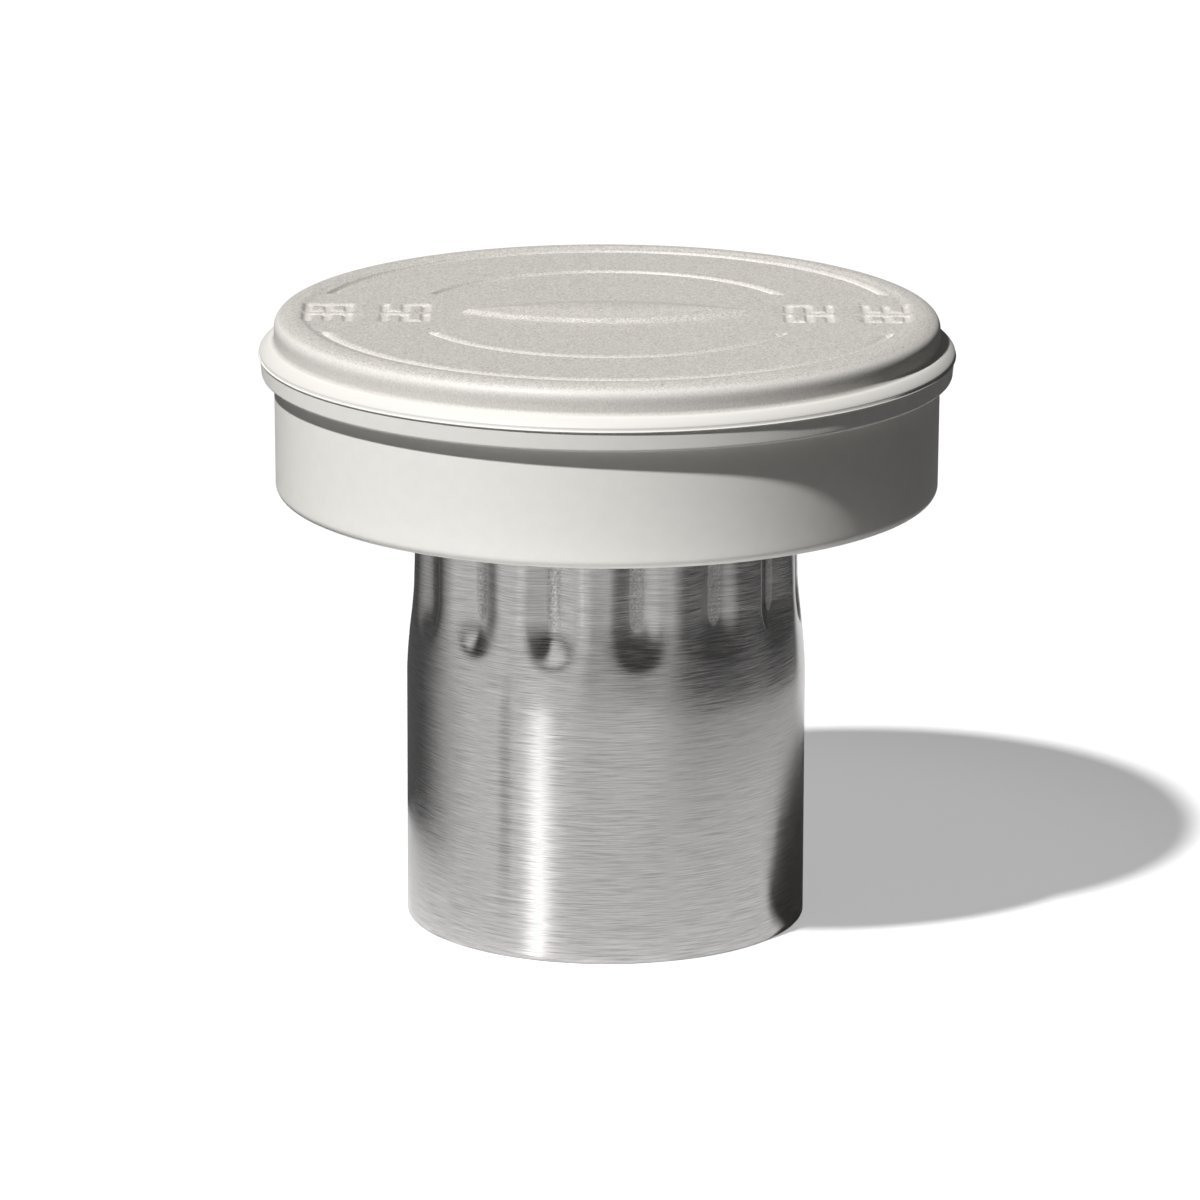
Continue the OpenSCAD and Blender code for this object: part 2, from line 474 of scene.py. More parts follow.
def math_node(tree, operation, *values):
    """A Math node fed with sockets or plain numbers; returns its output."""
    node = add(tree, "ShaderNodeMath", operation=operation)
    for socket, value in zip(node.inputs, values):
        if isinstance(value, (int, float)):
            socket.default_value = value
        else:
            tree.links.new(value, socket)
    return node.outputs[0]


def stretched_place(tree, across, up):
    """The place on the object in steps of across millimetres level and up millimetres high."""
    place = add(tree, "ShaderNodeTexCoord").outputs["Object"]
    level = math_node(tree, "DIVIDE", 1 / MM, across)
    tall = math_node(tree, "DIVIDE", 1 / MM, up)
    scale = add(tree, "ShaderNodeCombineXYZ")
    tree.links.new(level, scale.inputs["X"])
    tree.links.new(level, scale.inputs["Y"])
    tree.links.new(tall, scale.inputs["Z"])
    scaled = add(tree, "ShaderNodeVectorMath", operation="MULTIPLY")
    tree.links.new(place, scaled.inputs[0])
    tree.links.new(scale.outputs[0], scaled.inputs[1])
    return scaled.outputs[0]


def noise(tree, place, detail, roughness):
    """A noise value at a place that is already scaled."""
    node = add(tree, "ShaderNodeTexNoise", Scale=1.0, Detail=detail, Roughness=roughness)
    tree.links.new(place, node.inputs["Vector"])
    return node.outputs[0]


# %% Speckle group
PIT_EDGES = (0.66, 0.74)

speckle_group, enter, leave = new_group(
    "speckle", {"Grain Size": 0.2, "Pit Size": 0.5}, ["Grain", "Pits"]
)
grain_place = stretched_place(speckle_group, enter.outputs["Grain Size"], enter.outputs["Grain Size"])
grain = noise(speckle_group, grain_place, 2.0, 0.6)
pit_place = stretched_place(speckle_group, enter.outputs["Pit Size"], enter.outputs["Pit Size"])
pit_noise = noise(speckle_group, pit_place, 1.0, 0.5)
pits = add(speckle_group, "ShaderNodeMapRange", From_Min=PIT_EDGES[0], From_Max=PIT_EDGES[1])
speckle_group.links.new(pit_noise, pits.inputs["Value"])
speckle_group.links.new(grain, leave.inputs["Grain"])
speckle_group.links.new(pits.outputs[0], leave.inputs["Pits"])
print("speckle group:", len(speckle_group.nodes), "nodes")

# %% Brushed lines group
COARSE_STRETCH = 2.0
SCRATCH_SHARE = 0.7
SCRATCH_EDGES = (0.68, 0.76)

brushed_group, enter, leave = new_group(
    "brushed_lines",
    {"Fine Line": 0.035, "Coarse Line": 0.05, "Line Length": 2.0},
    ["Fine", "Coarse", "Scratches"],
)
long_way = enter.outputs["Line Length"]
fine = noise(
    brushed_group, stretched_place(brushed_group, long_way, enter.outputs["Fine Line"]), 3.0, 0.65
)
longer = math_node(brushed_group, "MULTIPLY", long_way, COARSE_STRETCH)
coarse = noise(
    brushed_group, stretched_place(brushed_group, longer, enter.outputs["Coarse Line"]), 2.0, 0.6
)
lone = math_node(brushed_group, "MULTIPLY", enter.outputs["Coarse Line"], SCRATCH_SHARE)
lone_noise = noise(brushed_group, stretched_place(brushed_group, long_way, lone), 1.0, 0.5)
scratches = add(
    brushed_group, "ShaderNodeMapRange", From_Min=SCRATCH_EDGES[0], From_Max=SCRATCH_EDGES[1]
)
brushed_group.links.new(lone_noise, scratches.inputs["Value"])
for value, label in ((fine, "Fine"), (coarse, "Coarse"), (scratches.outputs[0], "Scratches")):
    brushed_group.links.new(value, leave.inputs[label])
print("brushed lines group:", len(brushed_group.nodes), "nodes")


def use_group(tree, group, **values):
    """A placed node group with its own settings."""
    node = tree.nodes.new("ShaderNodeGroup")
    node.node_tree = group
    for name, value in values.items():
        node.inputs[name.replace("_", " ")].default_value = value
    return node


def ramp_value(tree, value, low, high):
    """Turns a noise value round 0.5 into a number between low and high."""
    node = add(tree, "ShaderNodeMapRange", From_Min=0.3, From_Max=0.7, To_Min=low, To_Max=high)
    tree.links.new(value, node.inputs["Value"])
    return node.outputs[0]


def tinted(tree, colour, factor):
    """The colour made darker or lighter by a factor that changes over the surface."""
    node = add(tree, "ShaderNodeVectorMath", operation="SCALE")
    node.inputs[0].default_value = colour
    tree.links.new(factor, node.inputs["Scale"])
    return node.outputs[0]


# %% [markdown]
# ## Brushed steel
# Stainless strip keeps the fine level lines of the belt that finished it. Such lines scatter light
# up and down much more than sideways, so a lamp shows as a tall narrow stripe. The Principled shader
# does this with Anisotropic, turned by just under a quarter, so that the stretch runs up the tube
# with a slight lean. The lines also change the roughness and the colour a little, and a Bump node
# lets single lines catch light. Along the bottom of each flute the punch has rubbed the lines away.
# That band is found by its distance from the axis, and there a speckle makes the steel rougher and
# blotchy.

# %% Steel material
STEEL_COLOUR = (0.555, 0.54, 0.535)
UP_THE_TUBE = 0.238
RUBBED_FULL_R = 11.63
RUBBED_FOOT_R = 11.69
FINE_TONE = (0.58, 1.40)
COARSE_TONE = (0.92, 1.07)
SCRATCH_TONE = 0.18
BLOTCH_TONE = 0.36
RUBBED_TONE = 0.12
LINE_ROUGHNESS = (0.11, 0.23)
RUBBED_ROUGHNESS = 0.22
COARSE_HEIGHT = 0.4
LINE_HEIGHT = 0.0015


def product(tree, *values):
    """Values multiplied together."""
    return math_node(tree, "MULTIPLY", *values)


def total(tree, *values):
    """Values added together, from the first to the last."""
    found = values[0]
    for value in values[1:]:
        found = math_node(tree, "ADD", found, value)
    return found


steel, tree, output = material_tree("brushed_steel")
shader = add(
    tree, "ShaderNodeBsdfPrincipled",
    Metallic=1.0, Anisotropic=1.0, Anisotropic_Rotation=UP_THE_TUBE,
)
place = add(tree, "ShaderNodeTexCoord").outputs["Object"]
flattened = add(tree, "ShaderNodeVectorMath", operation="MULTIPLY")
flattened.inputs[1].default_value = (1, 1, 0)
tree.links.new(place, flattened.inputs[0])
axis_away = add(tree, "ShaderNodeVectorMath", operation="LENGTH")
tree.links.new(flattened.outputs[0], axis_away.inputs[0])
rubbed = add(
    tree, "ShaderNodeMapRange",
    From_Min=RUBBED_FULL_R * MM, From_Max=RUBBED_FOOT_R * MM, To_Min=1.0, To_Max=0.0,
)
tree.links.new(axis_away.outputs["Value"], rubbed.inputs["Value"])
blotches = use_group(tree, speckle_group, Grain_Size=0.13, Pit_Size=0.22)
blotch = ramp_value(tree, blotches.outputs["Grain"], -BLOTCH_TONE, BLOTCH_TONE)

lines = use_group(tree, brushed_group)
line_tone = product(
    tree,
    ramp_value(tree, lines.outputs["Fine"], *FINE_TONE),
    ramp_value(tree, lines.outputs["Coarse"], *COARSE_TONE),
)
tone = total(
    tree,
    line_tone,
    product(tree, lines.outputs["Scratches"], -SCRATCH_TONE),
    product(tree, rubbed.outputs[0], blotch),
    product(tree, rubbed.outputs[0], RUBBED_TONE),
)
tree.links.new(tinted(tree, STEEL_COLOUR, tone), shader.inputs["Base Color"])
roughness = total(
    tree,
    ramp_value(tree, lines.outputs["Fine"], *LINE_ROUGHNESS),
    product(tree, rubbed.outputs[0], RUBBED_ROUGHNESS),
)
tree.links.new(roughness, shader.inputs["Roughness"])
height = total(tree, product(tree, lines.outputs["Coarse"], COARSE_HEIGHT), lines.outputs["Fine"])
bump = add(tree, "ShaderNodeBump", Strength=0.5, Distance=LINE_HEIGHT * MM)
tree.links.new(height, bump.inputs["Height"])
tree.links.new(bump.outputs[0], shader.inputs["Normal"])
level = add(tree, "ShaderNodeTangent", direction_type="RADIAL", axis="Z")
tree.links.new(level.outputs[0], shader.inputs["Tangent"])
tree.links.new(shader.outputs[0], output.inputs["Surface"])
print("steel material ready")

# %% [markdown]
# ## Moulded plastic
# The shell is a hard plastic in a warm off-white, smooth and a little satin. A mould leaves it almost
# flawless, and a perfectly even surface looks like a drawing. So a wide, faint speckle shifts its
# tone by about one part in a hundred, its roughness a little, and its height by a few thousandths
# of a millimetre, which breaks up the reflection of the lamp.

# %% Shell material
SHELL_COLOUR = (0.87, 0.85, 0.805)
SHELL_TONE = (0.985, 1.012)
SHELL_ROUGHNESS = (0.40, 0.47)
SHELL_WAVES = 0.004
PLASTIC_IOR = 1.46

shell_plastic, tree, output = material_tree("satin_plastic")
shader = add(tree, "ShaderNodeBsdfPrincipled", Metallic=0.0, IOR=PLASTIC_IOR)
marks = use_group(tree, speckle_group, Grain_Size=0.9, Pit_Size=1.4)
tone = ramp_value(tree, marks.outputs["Grain"], *SHELL_TONE)
tree.links.new(tinted(tree, SHELL_COLOUR, tone), shader.inputs["Base Color"])
tree.links.new(ramp_value(tree, marks.outputs["Grain"], *SHELL_ROUGHNESS), shader.inputs["Roughness"])
bump = add(tree, "ShaderNodeBump", Strength=0.15, Distance=SHELL_WAVES * MM)
tree.links.new(marks.outputs["Grain"], bump.inputs["Height"])
tree.links.new(bump.outputs[0], shader.inputs["Normal"])
tree.links.new(shader.outputs[0], output.inputs["Surface"])
print("shell material ready")

# %% [markdown]
# ## Grainy pad
# The pad's top is textured like fine sand, so that a floury palm doesn't slip, and its shoulder is
# smooth. The grain starts just above the ledge, and it is strongest on the face. The face, the
# rolled edge and the wall of the disc each have their own tone, which is painted light: painted shade
# darkens the face, and painted light and sheen brighten the wall, the rolled edge and the grooves
# that dip below the face. Masks made from the height above the table choose between them, which is
# simpler than painting the mesh, and works because every one of these zones is level.

# %% Pad material
# Painted shade darkens the face; painted light and sheen lighten the wall and the rolled edge
FACE_PAINTED_SHADE_COLOUR = (0.573, 0.547, 0.512)
WALL_PAINTED_LIGHT_COLOUR = (0.625, 0.60, 0.565)
ROLL_PAINTED_SHEEN_COLOUR = (0.705, 0.68, 0.645)
SHOULDER_COLOUR = (0.715, 0.695, 0.66)
GRAIN_FOOT_Z = 37.37
GRAIN_FULL_Z = 37.45
WALL_FOOT_Z = 38.1
WALL_FULL_Z = 38.6
FACE_FOOT_Z = 38.86
FACE_FULL_Z = 39.05
FACE_TONE = (0.72, 1.26)
EDGE_TONE = (0.90, 1.09)
PIT_TONE = 0.2
PAD_ROUGHNESS = (0.42, 0.62)
GRAIN_HEIGHT = 0.02


def height_mask(tree, foot_z, full_z):
    """A mask that is 0 below one height of the object and 1 above another, in millimetres."""
    place = add(tree, "ShaderNodeTexCoord").outputs["Object"]
    split = add(tree, "ShaderNodeSeparateXYZ")
    tree.links.new(place, split.inputs[0])
    mask = add(tree, "ShaderNodeMapRange", From_Min=foot_z * MM, From_Max=full_z * MM)
    tree.links.new(split.outputs["Z"], mask.inputs["Value"])
    return mask.outputs[0]


def mixed(tree, mask, first, second):
    """First colour where the mask is 0, second where it is 1; each is a colour or a socket."""
    node = add(tree, "ShaderNodeMix", data_type="RGBA")
    tree.links.new(mask, node.inputs["Factor"])
    for label, colour in (("A", first), ("B", second)):
        if isinstance(colour, tuple):
            node.inputs[label].default_value = (*colour, 1)
        else:
            tree.links.new(colour, node.inputs[label])
    return node.outputs["Result"]


pad_rubber, tree, output = material_tree("grainy_rubber")
shader = add(tree, "ShaderNodeBsdfPrincipled", Metallic=0.0, IOR=PLASTIC_IOR)
marks = use_group(tree, speckle_group, Grain_Size=0.12, Pit_Size=0.26)
grained = height_mask(tree, GRAIN_FOOT_Z, GRAIN_FULL_Z)
on_face = height_mask(tree, FACE_FOOT_Z, FACE_FULL_Z)
blend = add(tree, "ShaderNodeMix", data_type="FLOAT")
tree.links.new(on_face, blend.inputs["Factor"])
tree.links.new(ramp_value(tree, marks.outputs["Grain"], *EDGE_TONE), blend.inputs["A"])
tree.links.new(ramp_value(tree, marks.outputs["Grain"], *FACE_TONE), blend.inputs["B"])
pit_tone = product(tree, marks.outputs["Pits"], product(tree, on_face, -PIT_TONE))
tone = total(tree, blend.outputs["Result"], pit_tone)
above_wall = height_mask(tree, WALL_FOOT_Z, WALL_FULL_Z)
# Painted shade on the face, painted light and sheen on the wall and rolled edge, chosen by height
plain = mixed(tree, on_face, mixed(tree, above_wall, WALL_PAINTED_LIGHT_COLOUR, ROLL_PAINTED_SHEEN_COLOUR), FACE_PAINTED_SHADE_COLOUR)
sandy = add(tree, "ShaderNodeVectorMath", operation="SCALE")
tree.links.new(plain, sandy.inputs[0])
tree.links.new(tone, sandy.inputs["Scale"])
colour = mixed(tree, grained, SHOULDER_COLOUR, sandy.outputs[0])
tree.links.new(colour, shader.inputs["Base Color"])
tree.links.new(ramp_value(tree, marks.outputs["Grain"], *PAD_ROUGHNESS), shader.inputs["Roughness"])
height = product(tree, marks.outputs["Grain"], grained)
bump = add(tree, "ShaderNodeBump", Strength=0.8, Distance=GRAIN_HEIGHT * MM)
tree.links.new(height, bump.inputs["Height"])
tree.links.new(bump.outputs[0], shader.inputs["Normal"])
tree.links.new(shader.outputs[0], output.inputs["Surface"])
print("pad material ready")

# %% [markdown]
# ## The pressed tube
# The real tube is rolled from thin strip, and its upper end is pressed into flutes by round-nosed
# punches. A boolean cut would leave knife edges, but pressed sheet bends in soft curves. So the
# radius is worked out on a fine grid of angle and height, as the punches would cut it, and then
# blurred, which rounds every edge as a press does. The nose of the punch is drawn out lengthwise, so
# that a flute runs out gently at its foot, and below each foot the sheet is dragged in to a shallow
# dent. Both decide what the foot mirrors, and so where it is dark and where it is bright.

# %% Tube sizes
SHEET = 0.4
DRAW_IN = 0.42
NECK_Z = 16.6
NECK_L = 6.8
FLUTE_COUNT = 14
FLUTE_R = 2.0
FLUTE_DEPTH = 0.78
FLUTE_L = 16.4
FLUTE_TURN = 9.5
NOSE_FACTOR = 1.7
DENT_DEPTH = 0.12
DENT_L = 3.0
DENT_OVERLAP = 1.0
DENT_W = 0.32
DENT_REACH = 0.15
NECK_SOFT = 1.0
BEND_ALONG = 0.3
BEND_ROUND = 0.6
TUBE_COLUMNS = FLUTE_COUNT * 48
GRID_STEP = 0.1

ridge_r = plain_r - DRAW_IN
flute_axis_r = ridge_r - FLUTE_DEPTH + FLUTE_R
foot_z = tube_h - FLUTE_L
bowl_z = foot_z + NOSE_FACTOR * math.sqrt(FLUTE_R**2 - (flute_axis_r - plain_r) ** 2)

# %% Tube surface


def blurred(grid, row_sigma, column_sigma):
    """The grid blurred along both ways; columns wrap round, rows are mirrored at the ends."""
    rows = len(grid)
    tall = np.vstack([grid[::-1], grid, grid[::-1]])
    up = np.fft.fftfreq(len(tall))[:, None]
    along = np.fft.rfftfreq(tall.shape[1])[None, :]
    fade = np.exp(-2 * (np.pi * row_sigma * up) ** 2 - 2 * (np.pi * column_sigma * along) ** 2)
    soft = np.fft.irfft2(np.fft.rfft2(tall) * fade, tall.shape)
    return soft[rows : 2 * rows]


def pressed_radius(inset, heights, angles):
    """Radius of the fluted tube drawn inwards by inset, on a grid of heights and angles."""
    z = heights[:, None]
    step = 2 * np.pi / FLUTE_COUNT
    turn = (angles - math.radians(FLUTE_TURN) + step / 2) % step - step / 2
    neck = smoothstep(NECK_Z - NECK_SOFT, NECK_Z + NECK_L + NECK_SOFT, z)
    sleeve = plain_r - DRAW_IN * neck - inset
    nose = (FLUTE_R + inset) ** 2 - (np.minimum(z - bowl_z, 0) / NOSE_FACTOR) ** 2
    reach = nose - (flute_axis_r * np.sin(turn)) ** 2
    punch = flute_axis_r * np.cos(turn) - np.sqrt(np.maximum(reach, 0))
    pressed = np.where(reach > 0, np.minimum(sleeve, punch), sleeve)
    fall = smoothstep(foot_z - DENT_L, foot_z + DENT_OVERLAP, z)
    dent = DENT_DEPTH * fall * np.exp(-((turn / (DENT_W * step)) ** 2))
    dented = (z < bowl_z) & (pressed > sleeve - DENT_REACH)
    return pressed - dent * dented


grid_heights = np.arange(0, tube_h + GRID_STEP / 2, GRID_STEP)
tube_angles = around(TUBE_COLUMNS)
column_step = 2 * np.pi * ridge_r / TUBE_COLUMNS
soft_walls = [
    blurred(
        pressed_radius(inset, grid_heights, tube_angles), BEND_ALONG / GRID_STEP, BEND_ROUND / column_step
    )
    for inset in (0.0, SHEET)
]


def wall_at(wall, height):
    """One row of a wall's radius at any height."""
    place = np.clip(height / GRID_STEP, 0, len(grid_heights) - 1.001)
    low = int(place)
    share = place - low
    return wall[low] * (1 - share) + wall[low + 1] * share


print(f"flutes foot at {foot_z:.1f} mm, deepest radius {soft_walls[0].min():.2f} mm")

# %% [markdown]
# The rows run up the outside, over the fluted rim, down the inside and round the plain rim, and then
# close on themselves, so the tube is one solid sheet. Rows lie close together only where the shape
# changes. The plain rim keeps the small uneven burrs that a cut edge has: random numbers averaged
# over a few columns, of which only the higher ones are kept.

# %% Tube piece
PLAIN_Z = (0.5, 14.0)
BOWLS_Z = (14.6, 22.6)
FLUTES_Z = (22.8, tube_h - 0.4)
RIM_ROUND = 0.09
# Share of the way across the sheet, and the part of RIM_ROUND that is rounded away there
RIM_PROFILE = [(0.0, 1.0), (0.07, 0.35), (0.24, 0.0), (0.76, 0.0), (0.93, 0.35), (1.0, 1.0)]
BURR = 0.035
BURR_L = 5
BURR_PEAK = 0.25
BURR_LEAN = 0.7
rng = np.random.default_rng(7)


def wall_heights(fine):
    """Heights of the rows between the two rims, fine apart where the flutes run out."""
    return np.concatenate([np.linspace(*PLAIN_Z, 10), np.arange(*BOWLS_Z, fine), np.linspace(*FLUTES_Z, 14)])


def tube_row(height, share):
    """One row at a height; share runs from 0 outside to 1 inside."""
    radius = wall_at(soft_walls[0], height) * (1 - share) + wall_at(soft_walls[1], height) * share
    level = np.full_like(radius, height)
    return np.stack([radius * np.sin(tube_angles), -radius * np.cos(tube_angles), level], -1)


rows = [tube_row(height, 0.0) for height in wall_heights(0.16)]
rows += [tube_row(tube_h - RIM_ROUND * drop, share) for share, drop in RIM_PROFILE]
rows += [tube_row(height, 1.0) for height in wall_heights(0.25)[::-1]]
rows += [tube_row(RIM_ROUND * lift, share) for share, lift in RIM_PROFILE[::-1]]
tube_rows = np.array(rows)
uneven = np.convolve(rng.random(TUBE_COLUMNS + BURR_L - 1), np.ones(BURR_L) / BURR_L, "valid") - 0.5
burrs = np.clip(uneven, 0, None) * BURR / BURR_PEAK
tube_rows[-1, :, 2] += burrs
tube_rows[-2, :, 2] += burrs * BURR_LEAN

tube = piece_from_rows("pressed_tube", tube_rows, loop=True)
tube.data.materials.append(steel)
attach(tube, "cutter")
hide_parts("cutter_tube")

# %% [markdown]
# ## The moulded shell
# The shell is turned from one outline: the flat web, the collar that holds the tube, the skirt, and
# the lower half of the bead round the edge. The outline is drawn with a small radius on each corner,
# because a mould never gives a knife edge, and because a rounded edge is what catches the light.

# %% Shell sizes
SOCKET_GAP = 0.1
COLLAR_T = 1.4
COLLAR_L = 7.0
LARGE_D = 38.1
SKIRT_T = 1.9
SKIRT_DRAFT = 0.05
SKIRT_ROUND = 0.6
WEB_T = 1.25
BAND_LEAN = 0.1
BAND_ROUND = 0.22
LEAD_IN = 0.4
EDGE_ROUND = 0.03
INNER_ROUND = 0.3
SEAT_ROUND = 0.2
CORNER_ROUND = 0.15
SHELL_COLUMNS = 360

collar_in_r = plain_r + SOCKET_GAP
collar_out_r = collar_in_r + COLLAR_T
collar_z = tube_h - COLLAR_L
socket_r = LARGE_D / 2 + SOCKET_GAP
skirt_r = socket_r + SKIRT_T
skirt_foot_r = skirt_r - SKIRT_DRAFT
web_z = web_top_z - WEB_T
band_foot_r = band_r - BAND_LEAN

# %% Shell piece


def corner(middle_r, middle_z, size, from_deg, to_deg, steps):
    """A round corner of the outline about its middle."""
    return arc((middle_r, middle_z), (size, size), from_deg, to_deg, steps)


shell_outline = [
    (collar_in_r - 3 * SEAT_ROUND, web_z),
    (collar_in_r - SEAT_ROUND, web_z),
    *corner(collar_in_r - SEAT_ROUND, web_z - SEAT_ROUND, SEAT_ROUND, 90, 0, 5),
    (collar_in_r, collar_z + LEAD_IN + INNER_ROUND),
    *corner(collar_in_r + LEAD_IN, collar_z + LEAD_IN, LEAD_IN, 180, 270, 7),
    *corner(collar_out_r - INNER_ROUND, collar_z + INNER_ROUND, INNER_ROUND, -90, 0, 6),
    (collar_out_r, web_z - 2 * INNER_ROUND),
    *corner(collar_out_r + INNER_ROUND, web_z - INNER_ROUND, INNER_ROUND, 180, 90, 6),
    (collar_out_r + 1, web_z),
    (socket_r - 1, web_z),
    *corner(socket_r - INNER_ROUND, web_z - INNER_ROUND, INNER_ROUND, 90, 0, 6),
    (socket_r, web_z - 2 * INNER_ROUND),
    (socket_r, skirt_z + LEAD_IN + INNER_ROUND),
    *corner(socket_r + LEAD_IN, skirt_z + LEAD_IN, LEAD_IN, 180, 270, 7),
    *corner(skirt_foot_r - SKIRT_ROUND, skirt_z + SKIRT_ROUND, SKIRT_ROUND, -90, 0, 10),
    (skirt_foot_r, skirt_z + SKIRT_ROUND + 0.3),
    (skirt_r, web_z - 0.35),
    *corner(skirt_r + CORNER_ROUND, web_z - CORNER_ROUND, CORNER_ROUND, 180, 90, 5),
    *corner(band_foot_r - BAND_ROUND, web_z + BAND_ROUND, BAND_ROUND, -90, 5, 12),
    *corner(band_r - EDGE_ROUND, web_top_z - EDGE_ROUND, EDGE_ROUND, -10, 90, 6),
    (band_r - 0.5, web_top_z),
]
shell = piece_from_rows(
    "moulded_shell", turned(shell_outline, around(SHELL_COLUMNS)), poles=(web_z, web_top_z)
)
shell.data.materials.append(shell_plastic)
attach(shell, "cover")
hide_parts("cover_shell")

# %% [markdown]
# ## The press pad
# The pad is a raised disc with a soft rolled edge, on a rounded shoulder. Two broken rings show the
# sizes of the cutters, a plain lens stands up in the middle, and plain size numbers are pressed in
# beside the rings. The face inside the rolled edge is very slightly dished. All of these change only
# the height of the flat face, so they are worked out as one height over the face, and the columns
# and rows of the mesh lie closest where the marks are. The rings are drawn about 2% smaller than the
# cutters' nominal sizes, as they measure in the photograph, and their outer walls are the steep ones.

# %% Pad sizes
SHOULDER_H = 0.8
SHOULDER_LIP = 0.28
SHOULDER_SQUARENESS = 1.25
BEAD_R = 0.13
BEAD_H = 0.05
BEAD_OUT = 0.06
LEDGE_W = 1.0
FOOT_ROUND = 0.32
ROLL_W = 1.6
ROLL_H = 1.0
ROLL_SQUARENESS = 2.7
LENS_L = 18.8
LENS_W = 5.9
LENS_H = 0.35
LENS_STEP = 0.5
LENS_SLOPE = 0.4
LENS_DOME = 2.4
DISH = 0.13
DISH_RADII = (18.9, 19.5)
RING_SHARE = 0.978
RING_DEPTH = 0.3
RING_INSIDE_W = 0.6
RING_OUTSIDE_W = 0.2
RING_END_W = 0.3
RING_TOOL_R = 0.5
NUMBER_GAP = 10.4

press_z = lens_top_z - LENS_H
disc_r = pad_r - LEDGE_W
ledge_z = web_top_z + SHOULDER_H
shoulder_w = LEDGE_W - FOOT_ROUND
flat_r = disc_r - ROLL_W
RING_RADII = (plain_r * RING_SHARE, LARGE_D / 2 * RING_SHARE)

# %% [markdown]
# The numbers are drawn as strokes, as a sign writer would: each figure is a few straight lines in a
# box one unit high and 0.6 wide. The depth of the groove at a point depends on how near the nearest
# stroke is, which gives every groove the same width and the same soft edge.

# %% Number strokes
BOX_W = 0.6
FIGURES = {
    "2": [[(0, 1), (BOX_W, 1), (BOX_W, 0.5), (0, 0.5), (0, 0), (BOX_W, 0)]],
    "3": [[(0, 1), (BOX_W, 1), (BOX_W, 0), (0, 0)], [(BOX_W, 0.5), (0.1, 0.5)]],
    "5": [[(BOX_W, 1), (0, 1), (0, 0.5), (BOX_W, 0.5), (BOX_W, 0), (0, 0)]],
    "8": [[(0, 0), (0, 1), (BOX_W, 1), (BOX_W, 0), (0, 0)], [(0, 0.5), (BOX_W, 0.5)]],
}
FIGURE_H = 2.6
FIGURE_W = 3.0
FIGURE_STEP = 2.7
STROKE_HALF_W = 0.22
STROKE_SOFT = 0.14
FIGURE_DEPTH = 0.15
NUMBERS = (("25", 12.75), ("38", 17.65))


def number_strokes(text, middle_r, side):
    """Line pieces of a number that reads from its own side of the cover, tops pointing outwards."""
    pieces = []
    length = FIGURE_STEP * (len(text) - 1) + BOX_W * FIGURE_W
    for place, figure in enumerate(text):
        for stroke in FIGURES[figure]:
            run = np.array(stroke) * (FIGURE_W, FIGURE_H)
            along = run[:, 0] + place * FIGURE_STEP - length / 2
            up = run[:, 1] - FIGURE_H / 2 + middle_r
            points = np.stack([side * up, -side * along], -1)
            pieces += list(zip(points[:-1], points[1:]))
    return pieces


def stroke_distance(x, y, pieces):
    """Distance from each point to the nearest of the line pieces."""
    nearest = np.full(x.shape, np.inf)
    for start, end in pieces:
        run = end - start
        share = np.clip(((x - start[0]) * run[0] + (y - start[1]) * run[1]) / (run @ run), 0, 1)
        gap = np.hypot(x - start[0] - share * run[0], y - start[1] - share * run[1])
        nearest = np.minimum(nearest, gap)
    return nearest


# %% Height of the press face


def ring_groove(x, y, ring_r):
    """How deep the two arcs of one size ring are at each point."""
    end_y = NUMBER_GAP / 2 + RING_TOOL_R
    end_x = math.sqrt(ring_r**2 - end_y**2)
    beside = np.abs(y) < end_y
    along = np.hypot(np.abs(x) - end_x, np.abs(y) - end_y)
    out = np.hypot(x, y) - ring_r
    away = np.where(beside, along, np.abs(out))
    reach = np.where(beside, RING_END_W, np.where(out > 0, RING_OUTSIDE_W, RING_INSIDE_W))
    return RING_DEPTH * smoothstep(0.0, 1.0, 1 - away / reach)


def lens_lift(x, y):
    """How high the plain lens stands at each point."""
    side_r = (LENS_L**2 + LENS_W**2) / (4 * LENS_W)
    inside = side_r - np.hypot(x, np.abs(y) + side_r - LENS_W / 2)
    step = LENS_STEP * smoothstep(0.0, LENS_SLOPE, inside)
    return (LENS_H + DISH) * (step + (1 - LENS_STEP) * smoothstep(0.0, LENS_DOME, inside))


def press_face(x, y):
    """Height of the press face above the flat, in millimetres."""
    dish = DISH * (1 - smoothstep(*DISH_RADII, np.hypot(x, y)))
    rings = sum(ring_groove(x, y, ring_r) for ring_r in RING_RADII)
    pieces = []
    for text, middle_r in NUMBERS:
        for side in (-1, 1):
            pieces += number_strokes(text, middle_r, side)
    away = stroke_distance(x, y, pieces)
    outside = smoothstep(STROKE_HALF_W - STROKE_SOFT / 2, STROKE_HALF_W + STROKE_SOFT, away)
    return lens_lift(x, y) - dish - rings - FIGURE_DEPTH * (1 - outside)


# %% Pad columns and rows
FINE_HALF = math.radians(29)
FINE_COLUMNS = 176
PLAIN_COLUMNS = 96
ROW_STEP = 0.1
STEEP_WALL = np.array([0.26, 0.2, 0.15, 0.1, 0.05, 0.0])


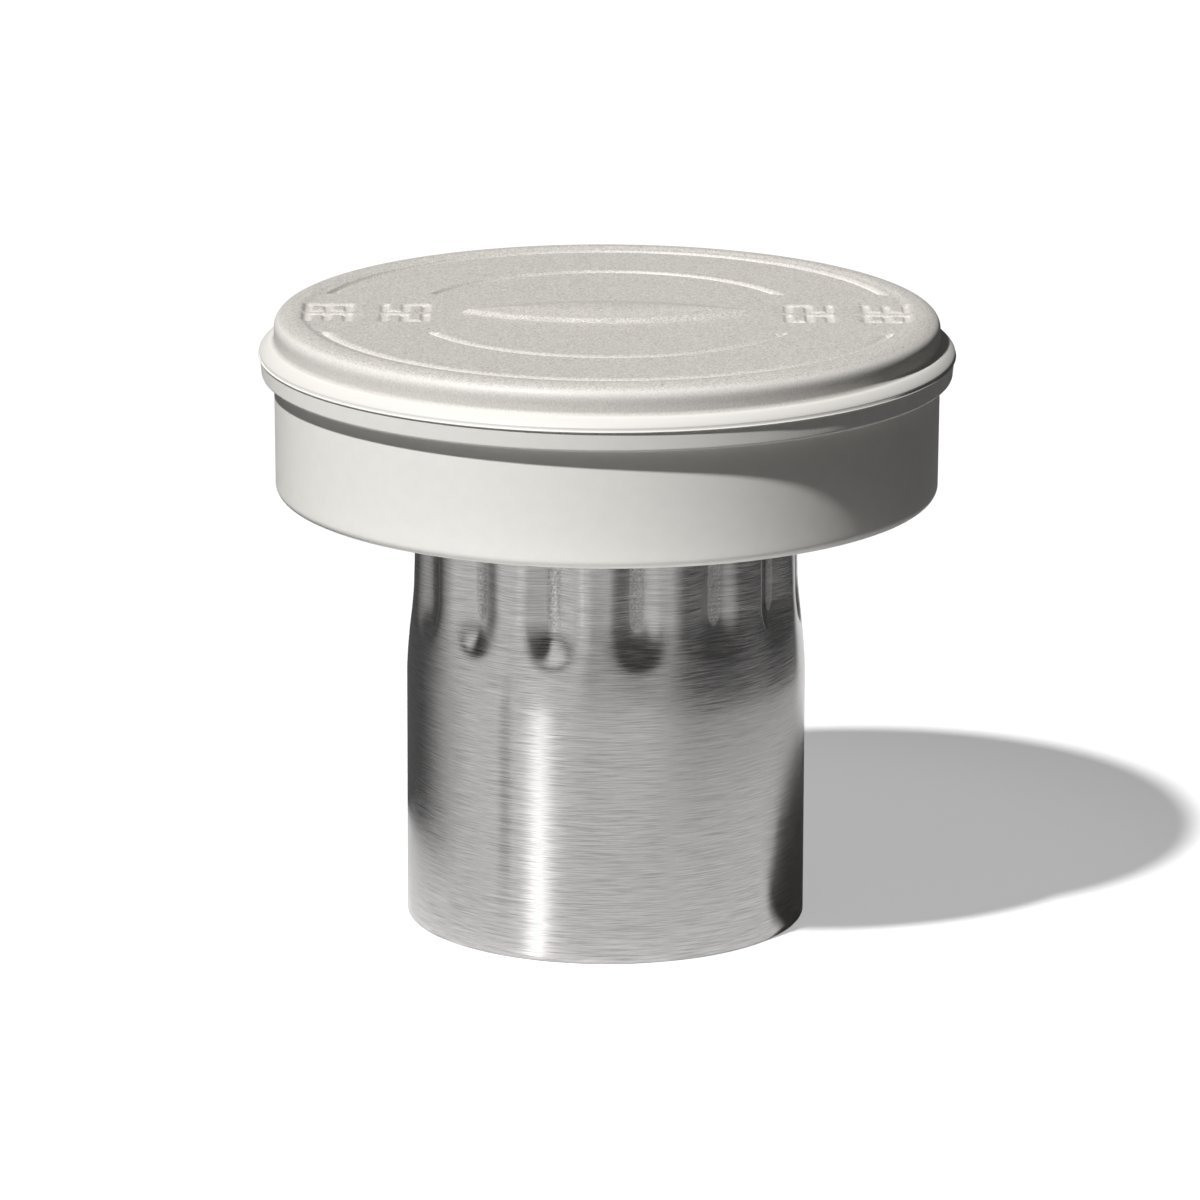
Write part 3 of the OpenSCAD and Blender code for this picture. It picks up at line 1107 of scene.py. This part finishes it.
def pad_angles():
    """Columns that lie close together near the numbers, at both sides."""
    fine = np.linspace(-FINE_HALF, FINE_HALF, FINE_COLUMNS, endpoint=False)
    plain = np.linspace(FINE_HALF, math.pi - FINE_HALF, PLAIN_COLUMNS, endpoint=False)
    half = np.concatenate([fine, plain])
    return np.concatenate([half, half + math.pi]) + math.pi / 2


def ring_rows(ring_r, outward, inward):
    """Radii a step apart on both sides of a ring, and closer over its steep outer wall."""
    outside = ring_r + ROW_STEP * np.arange(outward, 3, -1)
    inside = ring_r - ROW_STEP * np.arange(1, inward)
    return np.concatenate([outside, ring_r + STEEP_WALL, inside])


# The rings with the numbers beside them, the bare stretches between, the tips of the lens, its
# slopes, its edge and its top
face_radii = np.concatenate([
    ring_rows(RING_RADII[1], 8, 26),
    np.linspace(15.9, 14.8, 3),
    ring_rows(RING_RADII[0], 21, 16),
    np.linspace(10.7, 10.0, 2),
    np.arange(9.5, 8.8, -ROW_STEP),
    np.arange(8.7, 4.0, -2 * ROW_STEP),
    np.arange(3.9, 2.4, -0.8 * ROW_STEP),
    np.arange(2.2, 0.2, -4 * ROW_STEP),
])
print(f"{2 * (FINE_COLUMNS + PLAIN_COLUMNS)} columns, {len(face_radii)} rows over the face")

# %% Pad piece
pad_outline = [
    (pad_r - 1.2, web_top_z),
    (pad_r - 0.5, web_top_z),
    *arc((pad_r - BEAD_R, web_top_z + BEAD_H), (BEAD_R, BEAD_H), -90, 80, 9),
    *arc(
        (pad_r - shoulder_w, web_top_z + SHOULDER_LIP),
        (shoulder_w - BEAD_OUT, SHOULDER_H - SHOULDER_LIP), 0, 90, 12, SHOULDER_SQUARENESS,
    ),
    *arc((disc_r + FOOT_ROUND, ledge_z + FOOT_ROUND), (FOOT_ROUND, FOOT_ROUND), 262, 180, 6),
    *arc((flat_r, press_z - ROLL_H), (ROLL_W, ROLL_H), 0, 88, 15, ROLL_SQUARENESS),
    *[(radius, press_z) for radius in face_radii],
]
pad_rows = turned(pad_outline, pad_angles())
face = pad_rows[-len(face_radii):]
face[..., 2] += press_face(face[..., 0], face[..., 1])
pad = piece_from_rows("press_pad", pad_rows, poles=(web_top_z, press_z + LENS_H))
pad.data.materials.append(pad_rubber)
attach(pad, "cover")
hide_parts("cover_pad")
